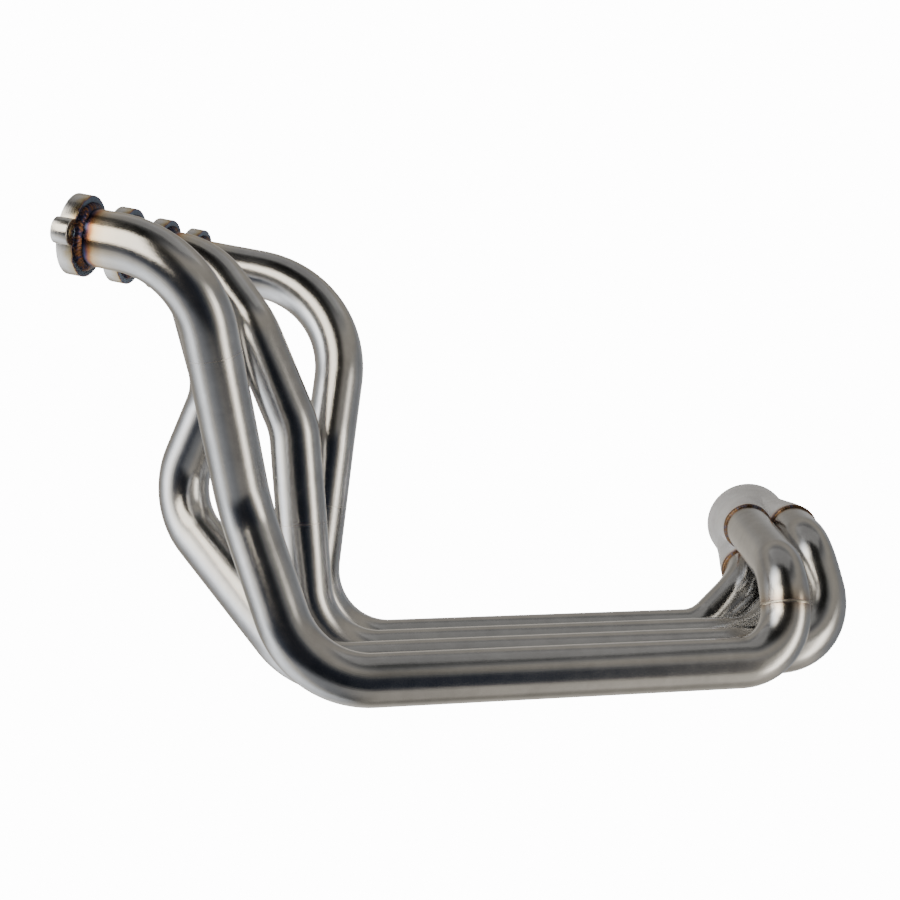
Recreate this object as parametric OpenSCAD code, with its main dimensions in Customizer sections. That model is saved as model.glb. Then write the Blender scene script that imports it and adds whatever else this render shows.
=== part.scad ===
// Four-into-one tubular exhaust manifold. Millimetres, +Z up.
// Ports run along Y, gas leaves them towards +X, and the four tubes lie
// side by side on the ground before they rise into the collector.

/* [Ports] */
// Distance between neighbouring ports, along Y
port_spacing = 80; // [70:0.5:110]
// Downward tilt of the port axis from level, in degrees
port_tilt = 10; // [0:0.5:25]
// Radius of the round middle of a port flange
flange_r = 29; // [24:0.5:36]
// Thickness of a port flange
flange_t = 12; // [8:0.5:16]
// Distance between the two bolt holes of a flange
bolt_pitch = 61; // [54:0.5:72]
// Outer radius of the ear around a bolt hole
ear_r = 8.8; // [7:0.1:12]
// Radius of a bolt hole
bolt_hole_r = 4.25; // [3:0.05:6]

/* [Tubes] */
// Outside diameter of a primary tube
tube_od = 41.3; // [35:0.1:54]
// Wall thickness of a primary tube
tube_wall = 1.5; // [1:0.1:3]
// Height of the ports above the centre line of the ground run
run_drop = 326; // [250:1:400]
// Direction of the ground run, turned from X towards Y, in degrees
run_angle = 24; // [0:1:45]
// Distance between neighbouring tubes on the ground run
run_pitch = 44.3; // [42:0.1:60]
// Sideways place of the first tube on the ground run
run_first = -12.5; // [-60:0.5:60]

/* [Collector] */
// Turn of the collector axis from Y towards minus X, in degrees
collector_yaw = 8; // [0:1:45]
// Upward slope of the collector axis, in degrees
collector_rise = 8; // [0:1:30]
// Distance between the tube centres where they enter the collector
cluster_pitch = 42.1; // [42:0.1:50]
// Sheet thickness of the collector
collector_wall = 1.6; // [1:0.1:3]
// Length over which the four-lobed sheet turns round
merge_len = 72; // [50:1:120]
// Length of the round outlet collar
collar_len = 34; // [20:1:60]
// Inside radius of the outlet collar
outlet_r = 38.4; // [28:0.1:45]
// Outside radius of the outlet collar
collar_r = 40.2; // [30:0.1:48]

/* [Welds] */
// Leg of the fillet weld round each flange
fillet_leg = 3.4; // [2:0.1:5]
// Height of a butt weld above the tube
butt_proud = 0.4; // [0.2:0.1:1.5]
// Width of a butt weld
butt_w = 3; // [2:0.5:6]

/* [Hidden] */
$fn = 64;

tube_r = tube_od / 2;
tube_ir = tube_r - tube_wall;
// Clearance where a straight length meets a bent one
seam = 0.01;

// Middle of the base of the whole part, seen from the first port
base_x = 280.04;
base_y = 231.26;
base_z = -run_drop - tube_r;

port_dir = [cos(port_tilt), 0, -sin(port_tilt)];
run_dir = [cos(run_angle), sin(run_angle), 0];
run_side = [-sin(run_angle), cos(run_angle), 0];
out_dir = [
    -sin(collector_yaw) * cos(collector_rise),
    cos(collector_yaw) * cos(collector_rise),
    sin(collector_rise)
];
out_u = cross(out_dir, [0, 0, 1]) / cos(collector_rise);
out_w = cross(out_u, out_dir);
cluster = [512, 390, -256.5];

// Place of each tube in the cluster, as steps along out_u and out_w
corner_u = [-1, 1, 1, -1];
corner_w = [1, 1, -1, -1];

// First leg, passing points, ends on the ground run, last leg, bend radii
first_leg = [78, 42.5, 33, 137];
passing = [
    [[99.5, 63.5, -196.5]],
    [[56, 134.5, -108.5], [9, 155, -202.5]],
    [[79.5, 146.5, -58], [114.5, 149.5, -139.5]],
    [[133, 196, -152.5]]
];
run_start = [158, 166.5, 179, 180.5];
run_end = [560, 630.5, 573, 545.5];
last_leg = [146.5, 61.5, 39, 30];
bend_r = [
    [72, 78, 72, 48.5, 44],
    [52, 60, 52, 62, 56, 48],
    [66, 62, 66, 62, 50, 48],
    [92, 66, 66, 47, 44]
];
// Leg that holds the butt joint, and how far along it the joint is
joint_leg = [1, 1, 3, 2];
joint_at = [17, 26, 68, 45];
elbow_leg = 4;
elbow_at = 1;

function unit(v) = v / norm(v);

// Middle of a port flange's back face, where tube k starts
function port_at(k) = [0, k * port_spacing, 0] + port_dir * 4.5;

function entry(k) = cluster
    + out_u * corner_u[k] * cluster_pitch / 2
    + out_w * corner_w[k] * cluster_pitch / 2;

function ground(k, along) = [0, 0, -run_drop]
    + run_side * (run_first + k * run_pitch)
    + run_dir * along;

function corners(k) = concat(
    [port_at(k)],
    [port_at(k) + port_dir * first_leg[k]],
    passing[k],
    [ground(k, run_start[k])],
    [ground(k, run_end[k])],
    [entry(k) - out_dir * last_leg[k]],
    [entry(k)]
);

function dir_at(v, i) = unit(v[i + 1] - v[i]);

function turn_at(v, i) = acos(dir_at(v, i - 1) * dir_at(v, i));

function cut_at(v, i, k) =
    (i == 0 || i == len(v) - 1) ? 0 : bend_r[k][i - 1] * tan(turn_at(v, i) / 2);

function leg_len(v, i, k) =
    norm(v[i + 1] - v[i]) - cut_at(v, i, k) - cut_at(v, i + 1, k);

// Draws its children with local Z along d and local X along x
module frame_at(p, x, d) {
    y = cross(d, x);
    multmatrix([
        [x[0], y[0], d[0], p[0]],
        [x[1], y[1], d[1], p[1]],
        [x[2], y[2], d[2], p[2]],
        [0, 0, 0, 1]
    ])
    children();
}

function side_of(d) = abs(d[2]) < 0.9 ? unit(cross([0, 0, 1], d)) : unit(cross([0, 1, 0], d));

module part_frame() {
    translate([-base_x, -base_y, -base_z])
    children();
}

// Straight length of tube on leg i, from a to b along that leg
module leg(k, i, a, b) {
    v = corners(k);
    d = dir_at(v, i);
    frame_at(v[i] + d * (cut_at(v, i, k) + a), side_of(d), d)
    difference() {
        cylinder(h = b - a, r = tube_r);
        translate([0, 0, -1])
        cylinder(h = b - a + 2, r = tube_ir);
    }
}

// Bent length of tube round corner i
module bend(k, i) {
    v = corners(k);
    d = dir_at(v, i - 1);
    e = dir_at(v, i);
    n = unit(e - d * (d * e));
    p = v[i] - d * cut_at(v, i, k) + n * bend_r[k][i - 1];
    frame_at(p, -n, cross(-n, d))
    rotate_extrude(angle = turn_at(v, i))
    translate([bend_r[k][i - 1], 0])
    difference() {
        circle(r = tube_r);
        circle(r = tube_ir);
    }
}

// Tube from a point on leg i to a point on leg j, its lengths laid end to end
module tube(k, i, a, j, b) {
    v = corners(k);
    part_frame()
    union() {
        leg(k, i, a, leg_len(v, i, k) - seam);
        for (q = [i + 1:1:j]) {
            bend(k, q);
        }
        for (q = [i + 1:1:j - 1]) {
            leg(k, q, seam, leg_len(v, q, k) - seam);
        }
        leg(k, j, seam, b);
    }
}

// Ring of weld metal round a tube, at a distance along leg i
module butt_ring(k, i, at) {
    v = corners(k);
    d = dir_at(v, i);
    frame_at(v[i] + d * (cut_at(v, i, k) + at - butt_w / 2), side_of(d), d)
    difference() {
        cylinder(h = butt_w, r = tube_r + butt_proud);
        translate([0, 0, -1])
        cylinder(h = butt_w + 2, r = tube_r);
    }
}

module port_flange(k) {
    part_frame()
    frame_at(port_at(k), [0, 1, 0], port_dir)
    difference() {
        translate([0, 0, -flange_t])
        union() {
            cylinder(h = flange_t, r = flange_r);
            for (s = [-1, 1]) {
                translate([s * bolt_pitch / 2, 0, 0])
                cylinder(h = flange_t, r = ear_r);
            }
        }
        translate([0, 0, -flange_t - 1])
        cylinder(h = flange_t + 2, r = tube_ir);
        for (s = [-1, 1]) {
            translate([s * bolt_pitch / 2, 0, -flange_t - 1])
            cylinder(h = flange_t + 2, r = bolt_hole_r);
        }
    }
}

module flange_weld(k) {
    part_frame()
    frame_at(port_at(k), [0, 1, 0], port_dir)
    rotate_extrude()
    polygon([
        [tube_r, 0],
        [tube_r + fillet_leg, 0],
        [tube_r + fillet_leg * 0.88, fillet_leg * 0.42],
        [tube_r + fillet_leg * 0.42, fillet_leg * 0.88],
        [tube_r, fillet_leg]
    ]);
}

module tube_upper(k) {
    tube(k, 0, 0, joint_leg[k], joint_at[k]);
}

module tube_lower(k) {
    v = corners(k);
    last = (k == 0) ? elbow_leg : len(v) - 2;
    end = (k == 0) ? elbow_at : leg_len(v, last, k);
    tube(k, joint_leg[k], joint_at[k], last, end);
}

module joint_weld(k) {
    part_frame()
    butt_ring(k, joint_leg[k], joint_at[k]);
}

module cluster_frame() {
    part_frame()
    frame_at(cluster, out_u, out_dir)
    children();
}

// Weld arc round the open side of one tube of the cluster
module collector_weld(k) {
    start = [114, 204, -66, 24];
    cluster_frame()
    translate([corner_u[k] * cluster_pitch / 2, -corner_w[k] * cluster_pitch / 2, 0])
    rotate([0, 0, start[k]])
    rotate_extrude(angle = 222)
    polygon([
        [tube_r, -2.6],
        [tube_r + 0.9, -2.3],
        [tube_r + 1.8, -1.2],
        [tube_r + 2, 0],
        [tube_r, 0]
    ]);
}

// Loft from two opposite lobes of the cluster to a round end
module lobe_pair(k, r, z0, z1, r_end) {
    hull() {
        for (q = [k, k + 2]) {
            translate([corner_u[q], -corner_w[q], 0] * cluster_pitch / 2)
            translate([0, 0, z0])
            cylinder(h = 0.2, r = r, $fn = 48);
        }
        translate([0, 0, z1 - 0.2])
        cylinder(h = 0.2, r = r_end, $fn = 48);
    }
}

module collector_body() {
    inner_r = tube_r + 0.2;
    cluster_frame()
    difference() {
        union() {
            lobe_pair(0, inner_r + collector_wall, 0, merge_len, collar_r - 0.3);
            lobe_pair(1, inner_r + collector_wall, 0, merge_len, collar_r - 0.3);
            translate([0, 0, merge_len - 1])
            cylinder(h = collar_len + 1, r = collar_r);
        }
        lobe_pair(0, inner_r, -0.2, merge_len, outlet_r - 0.8);
        lobe_pair(1, inner_r, -0.2, merge_len, outlet_r - 0.8);
        translate([0, 0, merge_len - 0.1])
        cylinder(h = collar_len + 1, r = outlet_r);
    }
}

// Plate that closes the gap in the middle of the cluster
module centre_plate() {
    cluster_frame()
    translate([0, 0, -3])
    cylinder(h = 3, r = cluster_pitch / sqrt(2) - tube_r - 0.2);
}

module elbow_ring() {
    part_frame()
    butt_ring(0, elbow_leg, elbow_at);
}

module port_flange_1() {
    color("silver")
    port_flange(0);
}

module port_flange_2() {
    color("silver")
    port_flange(1);
}

module port_flange_3() {
    color("silver")
    port_flange(2);
}

module port_flange_4() {
    color("silver")
    port_flange(3);
}

module flange_weld_1() {
    color("goldenrod")
    flange_weld(0);
}

module flange_weld_2() {
    color("goldenrod")
    flange_weld(1);
}

module flange_weld_3() {
    color("goldenrod")
    flange_weld(2);
}

module flange_weld_4() {
    color("goldenrod")
    flange_weld(3);
}

module tube_upper_1() {
    color("lightgray")
    tube_upper(0);
}

module tube_upper_2() {
    color("lightgray")
    tube_upper(1);
}

module tube_upper_3() {
    color("lightgray")
    tube_upper(2);
}

module tube_upper_4() {
    color("lightgray")
    tube_upper(3);
}

module tube_lower_1() {
    color("lightgray")
    tube_lower(0);
}

module tube_lower_2() {
    color("lightgray")
    tube_lower(1);
}

module tube_lower_3() {
    color("lightgray")
    tube_lower(2);
}

module tube_lower_4() {
    color("lightgray")
    tube_lower(3);
}

module joint_weld_1() {
    color("goldenrod")
    joint_weld(0);
}

module joint_weld_2() {
    color("goldenrod")
    joint_weld(1);
}

module joint_weld_3() {
    color("goldenrod")
    joint_weld(2);
}

module joint_weld_4() {
    color("goldenrod")
    joint_weld(3);
}

module collector_elbow() {
    v = corners(0);
    color("lightgray")
    tube(0, elbow_leg, elbow_at, elbow_leg + 1, leg_len(v, elbow_leg + 1, 0));
}

module elbow_weld() {
    color("goldenrod")
    elbow_ring();
}

module collector_weld_1() {
    color("goldenrod")
    collector_weld(0);
}

module collector_weld_2() {
    color("goldenrod")
    collector_weld(1);
}

module collector_weld_3() {
    color("goldenrod")
    collector_weld(2);
}

module collector_weld_4() {
    color("goldenrod")
    collector_weld(3);
}

module collector() {
    color("gainsboro")
    collector_body();
}

module cluster_plug() {
    color("gainsboro")
    centre_plate();
}

port_flange_1();
port_flange_2();
port_flange_3();
port_flange_4();
flange_weld_1();
flange_weld_2();
flange_weld_3();
flange_weld_4();
tube_upper_1();
tube_upper_2();
tube_upper_3();
tube_upper_4();
tube_lower_1();
tube_lower_2();
tube_lower_3();
tube_lower_4();
joint_weld_1();
joint_weld_2();
joint_weld_3();
joint_weld_4();
collector_elbow();
elbow_weld();
collector_weld_1();
collector_weld_2();
collector_weld_3();
collector_weld_4();
collector();
cluster_plug();
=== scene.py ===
import math
from collections import namedtuple

import bpy
import numpy as np
from mathutils import Matrix, Vector


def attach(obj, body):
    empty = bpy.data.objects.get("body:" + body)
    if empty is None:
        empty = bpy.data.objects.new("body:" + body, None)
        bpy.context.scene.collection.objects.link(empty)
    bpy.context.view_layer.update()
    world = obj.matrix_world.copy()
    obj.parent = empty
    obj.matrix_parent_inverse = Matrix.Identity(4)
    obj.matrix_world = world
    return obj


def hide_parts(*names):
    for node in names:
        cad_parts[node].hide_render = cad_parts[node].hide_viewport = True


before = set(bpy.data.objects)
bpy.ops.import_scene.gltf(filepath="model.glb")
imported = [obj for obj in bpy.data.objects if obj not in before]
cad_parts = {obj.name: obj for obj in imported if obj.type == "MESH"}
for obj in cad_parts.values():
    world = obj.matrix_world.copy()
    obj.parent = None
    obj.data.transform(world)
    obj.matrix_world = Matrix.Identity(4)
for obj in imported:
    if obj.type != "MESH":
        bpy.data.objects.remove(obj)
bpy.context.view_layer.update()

MM = 0.001

# Design numbers, in millimetres from the first port
BASE = np.array([280.04, 231.26, -346.65])
TUBE_R, TUBE_IR = 20.65, 19.15
PITCH_PORT, PORT_SHIFT, RUN_DROP = 80.0, 4.5, 326.0
TILT, RUN_ANGLE = math.radians(10), math.radians(24)
YAW, RISE = math.radians(8), math.radians(8)
CLUSTER = np.array([512.0, 390.0, -256.5])
CLUSTER_PITCH = 42.1
RUN_FIRST, RUN_PITCH = -12.5, 44.3
# Path of each tube, from its port to its place in the two by two cluster (CU, CW)
FIRST_LEG = [78.0, 42.5, 33.0, 137.0]
PASSING = [
    [[99.5, 63.5, -196.5]],
    [[56.0, 134.5, -108.5], [9.0, 155.0, -202.5]],
    [[79.5, 146.5, -58.0], [114.5, 149.5, -139.5]],
    [[133.0, 196.0, -152.5]],
]
RUN_START = [158.0, 166.5, 179.0, 180.5]
RUN_END = [560.0, 630.5, 573.0, 545.5]
LAST_LEG = [146.5, 61.5, 39.0, 30.0]
BEND_R = [
    [72, 78, 72, 48.5, 44],
    [52, 60, 52, 62, 56, 48],
    [66, 62, 66, 62, 50, 48],
    [92, 66, 66, 47, 44],
]
CU, CW = [-1, 1, 1, -1], [1, 1, -1, -1]
# Leg on which each joint lies, and how far along it
JOINT_LEG, JOINT_AT = [1, 1, 3, 2], [17.0, 26.0, 68.0, 45.0]
ELBOW_LEG, ELBOW_AT = 4, 1.0
# Longest step along a straight and round a bend (degrees), and the gap to a cut that is skipped
STEP, BEND_STEP, SNAP = 6, 3, 0.4

# Port flange: a disc with two bolt ears
FLANGE_R, FLANGE_T, BEVEL = 29.0, 12.0, 0.7
EAR_R, EAR_AT, BOLT_R = 8.8, 30.5, 4.25
# Collector: lobed rim, round outlet, and the arc in degrees of the weld round each tube in it
LOBE_R, OUTLET_R, WALL, EDGE = 22.5, 40.2, 1.5, 0.35
MERGE, COLLECTOR_L = 72.0, 106
WELD_START, WELD_SPAN = [114, 204, -66, 24], 222
# Welds: steps in a ripple, a distance that stands for no weld, and where the Tint layer says 1
RIPPLE, FAR, TINT_REACH = 8, 999.0, 100


def unit(v):
    v = np.asarray(v, float)
    return v / np.linalg.norm(v)


PORT = np.array([math.cos(TILT), 0, -math.sin(TILT)])
RUN = np.array([math.cos(RUN_ANGLE), math.sin(RUN_ANGLE), 0])
SIDE = np.array([-math.sin(RUN_ANGLE), math.cos(RUN_ANGLE), 0])
OUT = np.array([-math.sin(YAW) * math.cos(RISE), math.cos(YAW) * math.cos(RISE), math.sin(RISE)])
OUT_U = unit(np.cross(OUT, [0, 0, 1]))
OUT_W = np.cross(OUT_U, OUT)


# ---------------------------------------------------------------- centre lines
def port_at(k):
    return np.array([0, k * PITCH_PORT, 0.0]) + PORT * PORT_SHIFT


def entry_at(k):
    return CLUSTER + (OUT_U * CU[k] + OUT_W * CW[k]) * CLUSTER_PITCH / 2


def corners(k):
    """Corners of the path of tube k: port, passing points, run along the bottom, collector."""
    def ground(a):
        return np.array([0, 0, -RUN_DROP]) + SIDE * (RUN_FIRST + k * RUN_PITCH) + RUN * a

    port, entry = port_at(k), entry_at(k)
    pts = [port, port + PORT * FIRST_LEG[k]] + [np.array(p) for p in PASSING[k]]
    return pts + [ground(RUN_START[k]), ground(RUN_END[k]), entry - OUT * LAST_LEG[k], entry]


Line = namedtuple("Line", "pts dirs side along marks")


def centre_line(k):
    """Points, directions, side directions and distances of tube k, and where each leg starts."""
    v = corners(k)
    pts, dirs, marks = [], [], []
    cur, run = v[0], 0.0

    def straight(a, b):
        nonlocal run
        length = np.linalg.norm(b - a)
        n = max(1, int(length / STEP))
        marks.append(run)
        for j in range(n):
            pts.append(a + (b - a) * j / n)
            dirs.append(unit(b - a))
        run += length

    for i in range(1, len(v) - 1):
        a, b = unit(v[i] - v[i - 1]), unit(v[i + 1] - v[i])
        th, r = math.acos(a @ b), BEND_R[k][i - 1]
        cut = r * math.tan(th / 2)
        start = v[i] - a * cut
        straight(cur, start)
        n = max(4, int(math.degrees(th) / BEND_STEP))
        side = unit(b - a * (a @ b))
        for j in range(n):
            t = th * j / n
            pts.append(start + a * r * math.sin(t) + side * r * (1 - math.cos(t)))
            dirs.append(a * math.cos(t) + side * math.sin(t))
        run += r * th
        cur = v[i] + b * cut
    straight(cur, v[-1])
    pts.append(v[-1])
    dirs.append(unit(v[-1] - v[-2]))
    pts, dirs = np.array(pts), np.array(dirs)
    along = np.concatenate([[0], np.cumsum(np.linalg.norm(np.diff(pts, axis=0), axis=1))])
    scale = run / along[-1]
    side = [unit(np.cross(dirs[0], [0, 1, 0]))]
    for d in dirs[1:]:
        s = side[-1] - d * (side[-1] @ d)
        side.append(unit(s))
    return Line(pts, dirs, np.array(side), along * scale, marks)


LINES = [centre_line(k) for k in range(4)]
ENDS = [line.along[-1] for line in LINES]
JOINTS = [LINES[k].marks[JOINT_LEG[k]] + JOINT_AT[k] for k in range(4)]
ELBOW = LINES[0].marks[ELBOW_LEG] + ELBOW_AT


def sample(k, s, what):
    """The points, directions or side directions of tube k, read at distance s."""
    rows = getattr(LINES[k], what)
    return np.array([np.interp(s, LINES[k].along, rows[:, i]) for i in range(3)])


# ---------------------------------------------------------------- mesh helpers
def mesh_object(name, verts, faces, mat, uvs=None, tints=None, smooth=True):
    me = bpy.data.meshes.new(name)
    me.from_pydata([tuple(float(c) for c in p) for p in verts], [], faces)
    me.validate()
    for label, data in (("Grain", uvs), ("Tint", tints)):
        if data is not None:
            layer = me.uv_layers.new(name=label)
            for poly, row in zip(me.polygons, data):
                for li, uv in zip(poly.loop_indices, row):
                    layer.data[li].uv = uv
    me.materials.append(mat)
    o = bpy.data.objects.new(name, me)
    bpy.context.scene.collection.objects.link(o)
    if smooth:
        me.polygons.foreach_set("use_smooth", [True] * len(me.polygons))
    return o


def to_row(p):
    """A design point in millimetres as a place in the shared frame, in metres."""
    return (np.asarray(p) - BASE) * MM


def placed(x, y, z, p):
    """Matrix that lays an object's own axes along x, y and z with its origin at p."""
    return Matrix([(x[i], y[i], z[i], p[i]) for i in range(3)] + [(0, 0, 0, 1)])


def shell_quads(rings, n):
    """Quads of a hollow tube: ring, step, corners, whether on a cap, whether turned over."""
    inner = rings * n
    for first in (0, inner):
        for i in range(rings - 1):
            near, far = first + i * n, first + (i + 1) * n
            for j in range(n):
                q = (j + 1) % n
                yield i, j, (near + j, near + q, far + q, far + j), False, first > 0
    for i in (0, rings - 1):
        near, far = i * n, inner + i * n
        for j in range(n):
            q = (j + 1) % n
            yield i, j, (near + j, near + q, far + q, far + j), True, i == 0


def sharp_ends(o, angle=40):
    """Sharp edges where a cap meets a wall."""
    o.data.set_sharp_from_angle(angle=math.radians(angle))


def sweep(name, k, s0, s1, flange_weld, welds, mat, n=72):
    """Hollow tube k from s0 to s1 along its centre line.

    Its Grain layer runs round and along the tube. Its Tint layer holds how far the flange weld
    and the nearest of the other welds are.
    """
    between = [float(s) for s in LINES[k].along if s0 + SNAP < s < s1 - SNAP]
    stops = [s0] + between + [s1]
    frames, shades = [], []
    for s in stops:
        d = unit(sample(k, s, "dirs"))
        x = sample(k, s, "side")
        x = unit(x - d * (x @ d))
        frames.append((sample(k, s, "pts"), x, np.cross(d, x)))
        nearest = min([abs(s - w) for w in welds] + [FAR])
        shades.append((min(abs(s - flange_weld) / TINT_REACH, 1.0), min(nearest / TINT_REACH, 1.0)))
    turns = [2 * math.pi * j / n for j in range(n)]
    verts = [to_row(p + (x * math.cos(a) + y * math.sin(a)) * r)
             for r in (TUBE_R, TUBE_IR) for p, x, y in frames for a in turns]
    faces, uvs, tints = [], [], []
    for i, j, quad, cap, turned in shell_quads(len(stops), n):
        if cap:
            uv, tint = [(j / n, stops[i] * MM)] * 4, [shades[i]] * 4
        else:
            u0, u1, v0, v1 = j / n, (j + 1) / n, stops[i] * MM, stops[i + 1] * MM
            uv = [(u0, v0), (u1, v0), (u1, v1), (u0, v1)]
            tint = [shades[i]] * 2 + [shades[i + 1]] * 2
        order = (0, 3, 2, 1) if turned else (0, 1, 2, 3)
        for rows, row in ((faces, quad), (uvs, uv), (tints, tint)):
            rows.append([row[c] for c in order])
    return mesh_object(name, verts, faces, mat, uvs, tints)


def bead(name, centre, x, y, axis, profile, count, mat, arc=None, amp=0.22):
    """Weld bead of overlapping ripples round a tube.

    The profile of (radial, axial) offsets goes round the whole tube, or over an arc in radians
    with both ends thinned out.
    """
    a0, a1 = arc or (0, 2 * math.pi)
    steps = count * RIPPLE
    rows = steps + 1 if arc else steps
    p = len(profile)
    verts, faces = [], []
    for i in range(rows):
        a = a0 + (a1 - a0) * i / steps
        phase = (i % RIPPLE) / RIPPLE
        ridge = 1.0 + amp * (math.sqrt(max(0.0, 1 - (1 - phase) ** 2)) - 0.55)
        wob = 1.0 + 0.05 * math.sin(a * 5.3 + 1.7) + 0.04 * math.sin(a * 11.1)
        fade = min(1.0, 0.25 + 6.0 * min(i, steps - i) / steps) if arc else 1.0
        radial = x * math.cos(a) + y * math.sin(a)
        for dr, dz in profile:
            lift = radial * (TUBE_R + dr * ridge * wob * fade)
            verts.append(to_row(centre + lift + axis * dz * wob * fade))
    for i in range(steps):
        q = (i + 1) % rows
        for j in range(p - 1):
            faces.append((i * p + j, q * p + j, q * p + j + 1, i * p + j + 1))
    return mesh_object(name, verts, faces, mat)


def polar(n, radius, cx=0.0, cy=0.0):
    """Points round a middle, at radius(angle) from it."""
    turns = [2 * math.pi * i / n for i in range(n)]
    return [(cx + radius(a) * math.cos(a), cy + radius(a) * math.sin(a)) for a in turns]


def plate_mesh(name, outlines, half_t, bevel, middle, mat):
    """Flat plate cut from closed outlines, the first its edge and the others its holes."""
    cu = bpy.data.curves.new(f"{name}_outline", "CURVE")
    cu.dimensions, cu.fill_mode = "2D", "BOTH"
    for points in outlines:
        s = cu.splines.new("POLY")
        s.points.add(len(points) - 1)
        for spot, (x, y) in zip(s.points, points):
            spot.co = (x * MM, y * MM, 0, 1)
        s.use_cyclic_u = True
    cu.extrude, cu.bevel_depth, cu.bevel_resolution = (half_t - bevel) * MM, bevel * MM, 2
    tmp = bpy.data.objects.new(f"{name}_tmp", cu)
    bpy.context.scene.collection.objects.link(tmp)
    bpy.context.view_layer.update()
    depsgraph = bpy.context.evaluated_depsgraph_get()
    me = bpy.data.meshes.new_from_object(tmp.evaluated_get(depsgraph))
    bpy.data.objects.remove(tmp)
    me.transform(Matrix.Translation((0, 0, middle * MM)))
    me.materials.clear()
    me.materials.append(mat)
    return me


# ---------------------------------------------------------------- node helpers
def new_mat(name):
    m = bpy.data.materials.new(name)
    m.use_nodes = True
    nt = m.node_tree
    return m, nt, nt.nodes["Principled BSDF"]


def node(nt, kind, **settings):
    n = nt.nodes.new(kind)
    for key, value in settings.items():
        setattr(n, key, value)
    return n


def ramp(nt, stops, source):
    r = nt.nodes.new("ShaderNodeValToRGB")
    el = r.color_ramp.elements
    while len(el) < len(stops):
        el.new(0.5)
    for e, (pos, col) in zip(el, stops):
        e.position = pos
        e.color = (*col, 1)
    nt.links.new(source, r.inputs[0])
    return r.outputs["Color"]


def greys(*stops):
    return [(pos, (v,) * 3) for pos, v in stops]


def maths(nt, op, a, b=None, clamp=False):
    m = node(nt, "ShaderNodeMath", operation=op, use_clamp=clamp)
    for i, v in enumerate((a, b)):
        if v is None:
            continue
        if isinstance(v, (int, float)):
            m.inputs[i].default_value = v
        else:
            nt.links.new(v, m.inputs[i])
    return m.outputs[0]


def linear(nt, source, gain, offset):
    return maths(nt, "ADD", maths(nt, "MULTIPLY", source, gain), offset)


def centred(nt, source, reach):
    """A noise from 0 to 1 as one that swings reach / 2 to either side of nought."""
    return maths(nt, "MULTIPLY", maths(nt, "SUBTRACT", source, 0.5), reach)


def mixc(nt, fac, a, b, blend="MIX"):
    m = node(nt, "ShaderNodeMix", data_type="RGBA", blend_type=blend)
    for i, v in ((0, fac), (6, a), (7, b)):
        if isinstance(v, (int, float)):
            m.inputs[i].default_value = v
        elif isinstance(v, tuple):
            m.inputs[i].default_value = (*v, 1)
        else:
            nt.links.new(v, m.inputs[i])
    return m.outputs[2]


def noise(nt, vector, scale, detail=3.0, rough=0.55):
    n = node(nt, "ShaderNodeTexNoise")
    n.inputs["Scale"].default_value = scale
    n.inputs["Detail"].default_value = detail
    n.inputs["Roughness"].default_value = rough
    nt.links.new(vector, n.inputs["Vector"])
    return n.outputs["Fac"]


def stretched(nt, vector, scale):
    m = node(nt, "ShaderNodeMapping")
    m.inputs["Scale"].default_value = scale
    nt.links.new(vector, m.inputs["Vector"])
    return m.outputs["Vector"]


def split(nt, vector):
    n = node(nt, "ShaderNodeSeparateXYZ")
    nt.links.new(vector, n.inputs[0])
    return n.outputs


def metal(nt, bsdf, colour, rough, height=None, strength=0.0, distance=0.0):
    """Fully metallic surface of this colour and roughness, with a bump where a height is given."""
    nt.links.new(colour, bsdf.inputs["Base Color"])
    bsdf.inputs["Metallic"].default_value = 1.0
    nt.links.new(rough, bsdf.inputs["Roughness"])
    if height is None:
        return
    bump = node(nt, "ShaderNodeBump")
    bump.inputs["Strength"].default_value = strength
    bump.inputs["Distance"].default_value = distance
    nt.links.new(height, bump.inputs["Height"])
    nt.links.new(bump.outputs[0], bsdf.inputs["Normal"])


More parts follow.
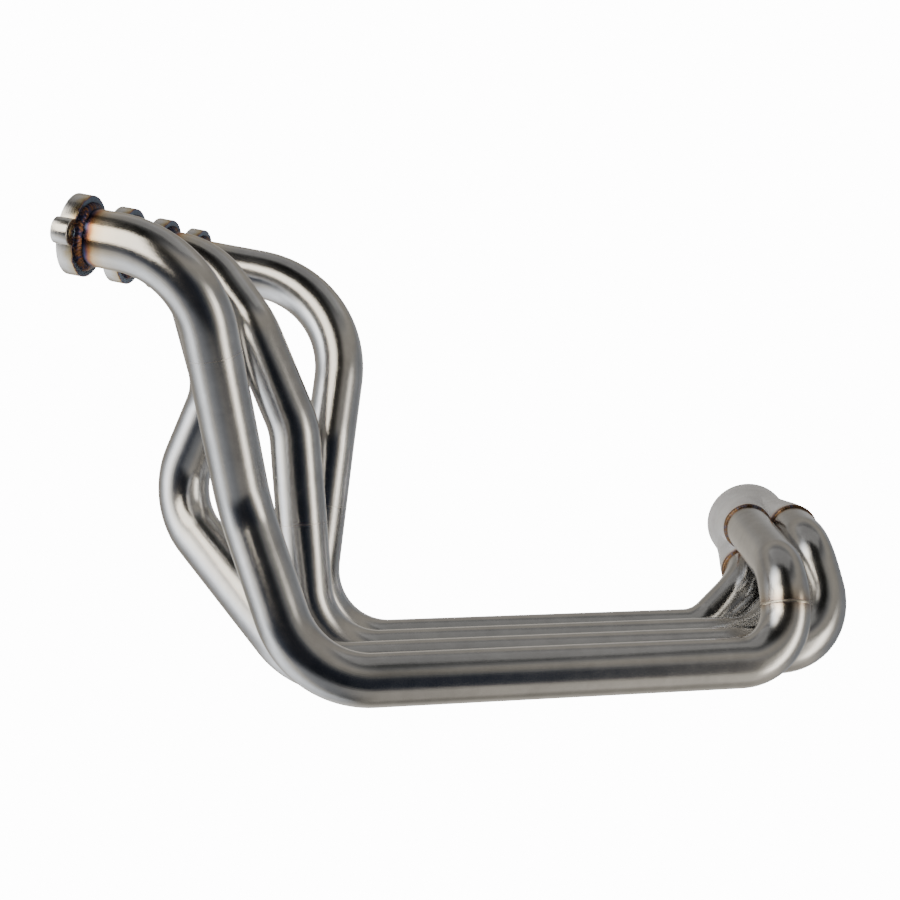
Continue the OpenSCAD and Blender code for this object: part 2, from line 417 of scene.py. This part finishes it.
# ---------------------------------------------------------------- materials
def tube_material():
    m, nt, bsdf = new_mat("satin_tube")
    grain = node(nt, "ShaderNodeUVMap", uv_map="Grain").outputs[0]
    tint = node(nt, "ShaderNodeUVMap", uv_map="Tint").outputs[0]
    obj = node(nt, "ShaderNodeTexCoord").outputs["Object"]
    far_flange, far_weld, _ = split(nt, tint)
    lines = noise(nt, stretched(nt, grain, (260.0, 26.0, 1.0)), 1.0, 4.0, 0.6)
    mottle = noise(nt, obj, 75.0, 4.0, 0.6)
    cloud = noise(nt, obj, 13.0, 2.0, 0.5)
    base = ramp(nt, [(0.25, (0.5, 0.495, 0.485)), (0.55, (0.6, 0.597, 0.59)),
                     (0.8, (0.68, 0.677, 0.67))], mottle)
    clouded = ramp(nt, [(0.3, (0.48, 0.48, 0.49)), (0.7, (0.72, 0.71, 0.69))], cloud)
    base = mixc(nt, 0.35, base, clouded)
    # heat colours behind the flange weld
    wob = centred(nt, noise(nt, obj, 90.0, 2.0), 0.05)
    f = maths(nt, "ADD", far_flange, wob, clamp=True)
    hot = ramp(nt, [(0.03, (0.015, 0.014, 0.02)), (0.05, (0.02, 0.03, 0.1)),
                    (0.064, (0.1, 0.03, 0.06)), (0.085, (0.42, 0.16, 0.04)),
                    (0.11, (0.74, 0.5, 0.24)), (0.19, (0.82, 0.72, 0.55)),
                    (0.45, (0.68, 0.66, 0.63))], f)
    hot_share = ramp(nt, greys((0.0, 1.0), (0.09, 0.92), (0.16, 0.6), (0.4, 0.0)), f)
    colour = mixc(nt, hot_share, base, hot)
    # a fainter tint at the other welds
    j = maths(nt, "ADD", far_weld, maths(nt, "MULTIPLY", wob, 0.4), clamp=True)
    warm = ramp(nt, [(0.0, (0.3, 0.2, 0.14)), (0.02, (0.45, 0.3, 0.18)),
                     (0.05, (0.62, 0.5, 0.34)), (0.12, (0.62, 0.58, 0.52))], j)
    warm_share = ramp(nt, greys((0.0, 0.75), (0.03, 0.55), (0.1, 0.25), (0.2, 0.0)), j)
    colour = mixc(nt, warm_share, colour, warm)
    rough = linear(nt, lines, 0.1, 0.09)
    rough = maths(nt, "ADD", rough, maths(nt, "MULTIPLY", mottle, 0.08), clamp=True)
    height = maths(nt, "ADD", lines, maths(nt, "MULTIPLY", mottle, 0.7))
    metal(nt, bsdf, colour, rough, height, 0.1, 0.0006)
    return m


def flange_material():
    m, nt, bsdf = new_mat("machined_flange")
    obj = node(nt, "ShaderNodeTexCoord").outputs["Object"]
    x, y, z = split(nt, obj)
    squares = maths(nt, "ADD", maths(nt, "MULTIPLY", x, x), maths(nt, "MULTIPLY", y, y))
    rad = maths(nt, "SQRT", squares)
    wob = centred(nt, noise(nt, obj, 160.0, 3.0), 0.008)
    # distance from the weld, down the thickness and out along the back face
    weld_r = 0.0225
    down = maths(nt, "ADD", maths(nt, "MULTIPLY", z, -1.0), wob)
    out = maths(nt, "MULTIPLY", maths(nt, "SUBTRACT", rad, weld_r), 0.9)
    d = maths(nt, "MULTIPLY", maths(nt, "ADD", down, out), 50.0, clamp=True)
    hot = ramp(nt, [(0.0, (0.01, 0.012, 0.02)), (0.13, (0.02, 0.05, 0.1)),
                    (0.22, (0.04, 0.1, 0.17)), (0.27, (0.14, 0.06, 0.14)),
                    (0.3, (0.42, 0.24, 0.08)), (0.37, (0.66, 0.54, 0.33)),
                    (0.6, (0.7, 0.68, 0.64))], d)
    turned = noise(nt, stretched(nt, obj, (30.0, 30.0, 1100.0)), 1.0, 3.0)
    lathe = ramp(nt, [(0.3, (0.5, 0.5, 0.5)), (0.7, (0.82, 0.81, 0.8))], turned)
    colour = mixc(nt, 0.12, hot, lathe)
    metal(nt, bsdf, colour, linear(nt, turned, 0.2, 0.14), turned, 0.12, 0.0004)
    return m


def weld_material(name, stops, rough):
    m, nt, bsdf = new_mat(name)
    obj = node(nt, "ShaderNodeTexCoord").outputs["Object"]
    n = noise(nt, obj, 210.0, 3.0, 0.6)
    metal(nt, bsdf, ramp(nt, stops, n), linear(nt, n, 0.25, rough))
    return m


def collector_material():
    m, nt, bsdf = new_mat("collector_sheet")
    obj = node(nt, "ShaderNodeTexCoord").outputs["Object"]
    _, _, z = split(nt, obj)
    mottle = noise(nt, obj, 70.0, 4.0, 0.6)
    lines = noise(nt, stretched(nt, obj, (60.0, 60.0, 900.0)), 1.0, 3.0)
    base = ramp(nt, [(0.25, (0.8, 0.805, 0.82)), (0.75, (0.92, 0.925, 0.94))], mottle)
    # heat colours away from the tube ends
    wob = centred(nt, noise(nt, obj, 130.0), 0.12)
    d = maths(nt, "ADD", maths(nt, "MULTIPLY", z, 50.0), wob, clamp=True)
    warm = ramp(nt, [(0.0, (0.24, 0.16, 0.14)), (0.05, (0.3, 0.2, 0.3)),
                     (0.1, (0.5, 0.33, 0.16)), (0.2, (0.68, 0.58, 0.44)),
                     (0.4, (0.7, 0.69, 0.68))], d)
    share = ramp(nt, greys((0.0, 0.9), (0.12, 0.6), (0.4, 0.0)), d)
    colour = mixc(nt, share, base, warm)
    height = maths(nt, "ADD", mottle, maths(nt, "MULTIPLY", lines, 0.3))
    metal(nt, bsdf, colour, linear(nt, mottle, 0.14, 0.46), height, 0.08, 0.0005)
    return m


TUBE = tube_material()
FLANGE = flange_material()
HOT_WELD = weld_material("hot_weld", [
    (0.25, (0.012, 0.014, 0.03)), (0.45, (0.04, 0.04, 0.09)),
    (0.6, (0.2, 0.09, 0.04)), (0.75, (0.08, 0.07, 0.07))], 0.2)
BEAD = weld_material("weld_bead", [
    (0.3, (0.06, 0.05, 0.05)), (0.5, (0.2, 0.12, 0.06)),
    (0.65, (0.1, 0.11, 0.18)), (0.8, (0.34, 0.3, 0.26))], 0.22)
PALE_BEAD = weld_material("pale_bead", [
    (0.3, (0.4, 0.36, 0.31)), (0.55, (0.64, 0.58, 0.48)), (0.8, (0.5, 0.44, 0.37))], 0.2)
DRESSED = weld_material("dressed_weld", [
    (0.3, (0.52, 0.5, 0.47)), (0.7, (0.62, 0.6, 0.57))], 0.16)
SHEET = collector_material()


# ---------------------------------------------------------------- tubes and their joints
for k in range(4):
    n = k + 1
    end = ELBOW if k == 0 else ENDS[k]
    # joints are dressed flush, so they tint much less than the collector end
    welds = [ENDS[k], ELBOW] if k == 0 else [ENDS[k]]
    up = sweep(f"tube_upper_vis_{n}", k, 0.0, JOINTS[k], 0.0, [], TUBE)
    lo = sweep(f"tube_lower_vis_{n}", k, JOINTS[k], end, -FAR, welds, TUBE)
    for o, cad in ((up, f"tube_upper_{n}"), (lo, f"tube_lower_{n}")):
        sharp_ends(o)
        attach(o, "root")
        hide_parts(cad)
elbow = sweep("collector_elbow_vis", 0, ELBOW, ENDS[0], -FAR, [ELBOW, ENDS[0]], TUBE)
sharp_ends(elbow)
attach(elbow, "root")
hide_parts("collector_elbow")

FLUSH = [(0.02, -0.4), (0.02, 0.4)]
RAISED = [(-0.1, -1.5), (0.105, -1.125), (0.3, -0.45), (0.3, 0.45), (0.105, 1.125), (-0.1, 1.5)]


def ring_at(name, k, s, mat, profile, count):
    """Weld right round tube k at distance s."""
    d = unit(sample(k, s, "dirs"))
    x = unit(np.cross(d, [0.3, 0.2, 0.9]))
    return bead(name, sample(k, s, "pts"), x, np.cross(d, x), d, profile, count, mat)


for k in range(4):
    o = ring_at(f"joint_weld_vis_{k + 1}", k, JOINTS[k], DRESSED, FLUSH, 60)
    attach(o, "root")
    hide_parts(f"joint_weld_{k + 1}")
o = ring_at("elbow_weld_vis", 0, ELBOW, PALE_BEAD, RAISED, 56)
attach(o, "root")
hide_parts("elbow_weld")


# ---------------------------------------------------------------- port flanges
def flange_edge(a):
    """Radius of the flange in direction a: a disc with an ear on either side, blended together."""
    c, q = abs(math.cos(a)), abs(math.sin(a))
    rho, power = FLANGE_R, 26
    if EAR_AT * q < EAR_R:
        ear = EAR_AT * c + math.sqrt(EAR_R * EAR_R - EAR_AT * EAR_AT * q * q)
        rho = (FLANGE_R ** power + ear ** power) ** (1 / power)
    return rho - BEVEL


FLANGE_MESH = plate_mesh("flange", [
    polar(240, flange_edge), polar(72, lambda a: TUBE_IR + BEVEL),
    polar(32, lambda a: BOLT_R + BEVEL, -EAR_AT), polar(32, lambda a: BOLT_R + BEVEL, EAR_AT),
], FLANGE_T / 2, BEVEL, -FLANGE_T / 2, FLANGE)
FLANGE_MESH.polygons.foreach_set("use_smooth", [True] * len(FLANGE_MESH.polygons))
FLANGE_MESH.set_sharp_from_angle(angle=math.radians(35))
FLANGE_BEAD = [(3.6, -0.1), (3.2, 0.9), (2.2, 2.1), (1.0, 3.1), (-0.1, 3.5)]
for k in range(4):
    n = k + 1
    o = bpy.data.objects.new(f"port_flange_vis_{n}", FLANGE_MESH.copy())
    bpy.context.scene.collection.objects.link(o)
    x, z = np.array([0, 1.0, 0]), PORT
    y = np.cross(z, x)
    o.matrix_world = placed(x, y, z, to_row(port_at(k)))
    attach(o, "root")
    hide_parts(f"port_flange_{n}")
    b = bead(f"flange_weld_vis_{n}", port_at(k), x, y, z, FLANGE_BEAD, 46, HOT_WELD, amp=0.35)
    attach(b, "root")
    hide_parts(f"flange_weld_{n}")


# ---------------------------------------------------------------- collector
def rim(a):
    """Outline of four joined lobes, from their middle, in direction a."""
    far = CLUSTER_PITCH / math.sqrt(2)
    total, power = 0.0, 18
    for q in range(4):
        d = a - (math.pi / 4 + q * math.pi / 2)
        s = abs(math.sin(d))
        if math.cos(d) > 0 and far * s < LOBE_R:
            total += (far * math.cos(d) + math.sqrt(LOBE_R ** 2 - far * far * s * s)) ** power
    return total ** (1 / power)


def collector(n=192):
    """Shell that goes from the lobed rim to the round outlet over MERGE, then on straight."""
    levels = [0, 0.8, 2, 4, 7, 11, 16, 22, 28, 34, 40, 46, 52, 58, 63, 67, 70, 72, 74, 80, 92,
              COLLECTOR_L - 1.4, COLLECTOR_L]
    turns = [2 * math.pi * i / n for i in range(n)]
    rims = [rim(a) for a in turns]
    verts = []
    for wall in (0.0, WALL):
        for s in levels:
            t = min(1.0, s / MERGE)
            t = t * t * (3 - 2 * t) * 0.55 + t * 0.45
            for a, lobed in zip(turns, rims):
                r = lobed * (1 - t) + OUTLET_R * t - wall
                if s in (0, COLLECTOR_L) and not wall:
                    r -= EDGE
                verts.append((r * math.cos(a) * MM, r * math.sin(a) * MM, s * MM))
    faces = []
    for _, _, quad, _, turned in shell_quads(len(levels), n):
        faces.append(quad[::-1] if turned else quad)
    o = mesh_object("collector_vis", verts, faces, SHEET)
    sharp_ends(o, 50)
    o.matrix_world = placed(OUT_U, -OUT_W, OUT, to_row(CLUSTER))
    return o


c = collector()
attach(c, "root")
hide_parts("collector")
COLLECTOR_BEAD = [(-0.15, -1.9), (0.6, -1.7), (1.3, -1.0), (1.6, 0.0), (1.9, 0.5)]
for k in range(4):
    arc = math.radians(WELD_START[k]), math.radians(WELD_START[k] + WELD_SPAN)
    name = f"collector_weld_vis_{k + 1}"
    b = bead(name, entry_at(k), OUT_U, -OUT_W, OUT, COLLECTOR_BEAD, 34, BEAD, arc)
    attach(b, "root")
    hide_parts(f"collector_weld_{k + 1}")

# star-shaped web that closes the collector's mouth round the four tube ends
tube_holes = [
    polar(64, lambda a: TUBE_IR + 0.3, CU[k] * CLUSTER_PITCH / 2, CW[k] * CLUSTER_PITCH / 2)
    for k in range(4)]
web_edge = polar(192, lambda a: rim(a) - 1.0)
web_mesh = plate_mesh("web", [web_edge] + tube_holes, 0.5, 0, 0.6, SHEET)
web = bpy.data.objects.new("cluster_plug_vis", web_mesh)
bpy.context.scene.collection.objects.link(web)
web.matrix_world = c.matrix_world.copy()
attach(web, "root")
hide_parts("cluster_plug")

# ---------------------------------------------------------------- studio
# The camera sees a plain white floor and background. Every other ray goes through the floor and
# meets the surround below. Its brightness is divided by SKY in the ramps, which hold no more
# than 1, and multiplied by it again as the world's strength.
WHITE, SKY = 14.0, 8.0
floor_mat, nt, bsdf = new_mat("studio_floor")
clear = node(nt, "ShaderNodeBsdfTransparent")
glow = node(nt, "ShaderNodeEmission")
glow.inputs["Strength"].default_value = WHITE
seen = node(nt, "ShaderNodeLightPath")
both = node(nt, "ShaderNodeMixShader")
nt.links.new(seen.outputs["Is Camera Ray"], both.inputs[0])
nt.links.new(clear.outputs[0], both.inputs[1])
nt.links.new(glow.outputs[0], both.inputs[2])
nt.links.new(both.outputs[0], nt.nodes["Material Output"].inputs["Surface"])
FLOOR_R, FLOOR_Z = 30, -0.0002
square = ((-1, -1), (1, -1), (1, 1), (-1, 1))
floor_corners = [(FLOOR_R * x, FLOOR_R * y, FLOOR_Z) for x, y in square]
floor = mesh_object("studio_floor", floor_corners, [(0, 1, 2, 3)], floor_mat, smooth=False)


def area(name, place, target, size, power, colour):
    light = bpy.data.lights.new(name, "AREA")
    light.shape, light.size, light.size_y = "RECTANGLE", size[0], size[1]
    light.energy, light.color = power, colour
    o = bpy.data.objects.new(name, light)
    bpy.context.scene.collection.objects.link(o)
    o.location = place
    o.rotation_euler = (Vector(target) - Vector(place)).to_track_quat("-Z", "Y").to_euler()


area("left_card", (-0.43, -0.9, 0.6), (-0.21, -0.22, 0.33), (0.5, 0.75), 4.5, (1.0, 0.91, 0.76))
area("top_soft", (0.1, 0.5, 2.2), (0.0, 0.0, 0.1), (2.4, 1.4), 2.5, (1.0, 0.98, 0.95))

world = bpy.context.scene.world or bpy.data.worlds.new("studio")
bpy.context.scene.world = world
world.use_nodes = True
wt = world.node_tree
wt.nodes.clear()
output = wt.nodes.new("ShaderNodeOutputWorld")
surround = wt.nodes.new("ShaderNodeBackground")
coord = wt.nodes.new("ShaderNodeTexCoord")


def along_axis(v):
    d = wt.nodes.new("ShaderNodeVectorMath")
    d.operation = "DOT_PRODUCT"
    d.inputs[1].default_value = v
    wt.links.new(coord.outputs["Generated"], d.inputs[0])
    return d.outputs["Value"]


def bearing(a):
    """Place on a ramp over turn of a bearing in degrees: 0 to the camera, 90 to its right."""
    return a / 360 + 0.5


def upward(z):
    """Place on a ramp over up01 of a direction whose upward part is z."""
    return z / 2 + 0.5


def glare(v, tint=(1, 1, 1)):
    return tuple(v / SKY * c for c in tint)


turn = maths(wt, "ARCTAN2", along_axis((0.989, 0.148, 0.0)), along_axis((0.148, -0.989, 0.0)))
turn = linear(wt, turn, 1 / (2 * math.pi), 0.5)
up01 = linear(wt, along_axis((0.0, 0.0, 1.0)), 0.5, 0.5)

WARM, COOL, INK = (1.0, 0.93, 0.82), (0.95, 0.98, 1.03), (0.7, 0.88, 1.35)
# level with the part: black towards the camera, a bright card on either side, grey behind
level_stops = [
    (-180, 0.7, WARM), (-150, 0.45, WARM), (-125, 0.35, WARM), (-105, 0.6, COOL),
    (-88, 1.4, COOL), (-74, 2.4, COOL), (-62, 0.8, COOL), (-48, 0.2, COOL), (-36, 0.05, INK),
    (-20, 0.02, INK), (0, 0.012, INK), (20, 0.015, INK), (36, 0.04, INK), (49, 0.2, WARM),
    (60, 1.0, WARM), (69, 5.0, WARM), (75, 2.5, WARM), (84, 0.35, WARM), (104, 0.3, COOL),
    (125, 0.25, COOL), (150, 0.4, COOL), (180, 0.7, WARM)]
# from below: the light that comes back off the floor, falling off straight down
floor_stops = [
    (-180, 0.8, WARM), (-130, 1.4, COOL), (-100, 2.0, COOL), (-75, 1.5, COOL), (-55, 0.85, WARM),
    (-35, 0.42, COOL), (0, 0.27, COOL), (35, 0.5, WARM), (55, 0.75, WARM), (75, 1.0, WARM),
    (100, 0.6, WARM), (140, 0.5, WARM), (180, 0.8, WARM)]
level = ramp(wt, [(bearing(a), glare(v, c)) for a, v, c in level_stops], turn)
below = ramp(wt, [(bearing(a), glare(v, c)) for a, v, c in floor_stops], turn)
falling = ramp(wt, greys((0.0, 0.35), (0.017, 0.5), (0.067, 0.75), (0.18, 1.0)), up01)
below = mixc(wt, 1.0, below, falling, "MULTIPLY")
# from above: a dim ceiling, nearly black on the camera's side
above = ramp(wt, [(upward(0.34), glare(0.26)), (upward(0.5), glare(0.32, WARM)),
                  (upward(0.68), glare(0.4, WARM)), (upward(0.79), glare(0.22)),
                  (upward(0.87), glare(0.1)), (upward(0.966), glare(0.05)),
                  (1.0, glare(0.08))], up01)
shaded = ramp(wt, greys((bearing(-60), 1.0), (bearing(-30), 0.25), (bearing(-12), 0.06),
                        (bearing(18), 0.06), (bearing(30), 0.5), (bearing(38), 1.0)), turn)
above = mixc(wt, 1.0, above, shaded, "MULTIPLY")
below_share = ramp(wt, greys((upward(-0.66), 1.0), (upward(-0.44), 0.0)), up01)
above_share = ramp(wt, greys((upward(0.208), 0.0), (upward(0.438), 1.0)), up01)
shade = mixc(wt, above_share, mixc(wt, below_share, level, below), above)
# a tall soft panel to the left of the camera, above eye level
panel = ramp(wt, [(bearing(-100), glare(0)), (bearing(-80), glare(3.0, COOL)),
                  (bearing(-62), glare(5.0, WARM)), (bearing(-50), glare(2.0, WARM)),
                  (bearing(-38), glare(0))], turn)
reach = ramp(wt, greys((upward(-0.3), 0.0), (upward(-0.05), 0.4), (upward(0.22), 0.8),
                       (upward(0.5), 1.0), (upward(0.8), 0.8), (upward(0.93), 0.0)), up01)
shade = mixc(wt, 1.0, shade, mixc(wt, 1.0, panel, reach, "MULTIPLY"), "ADD")
path = wt.nodes.new("ShaderNodeLightPath").outputs["Is Camera Ray"]
wt.links.new(mixc(wt, path, shade, (1.0, 1.0, 1.0)), surround.inputs["Color"])
wt.links.new(linear(wt, path, WHITE - SKY, SKY), surround.inputs["Strength"])
wt.links.new(surround.outputs[0], output.inputs[0])

# ---------------------------------------------------------------- camera
cam_data = bpy.data.cameras.new("photo_camera")
cam = bpy.data.objects.new("photo_camera", cam_data)
bpy.context.scene.collection.objects.link(cam)
bpy.context.scene.camera = cam
cam_data.sensor_width = 36.0
cam_data.lens = 55.1192
cam_data.clip_end = 60
CAM_AT = [403.777, -933.921, -91.342]
yaw, pitch, roll = (math.radians(a) for a in (8.489, -3.331, 0.81))
fw = Vector((-math.sin(yaw) * math.cos(pitch), math.cos(yaw) * math.cos(pitch), math.sin(pitch)))
rt = Vector((math.cos(yaw), math.sin(yaw), 0))
up = rt.cross(fw)
rt, up = rt * math.cos(roll) + up * math.sin(roll), up * math.cos(roll) - rt * math.sin(roll)
cam.matrix_world = placed(rt, up, -fw, to_row(CAM_AT))
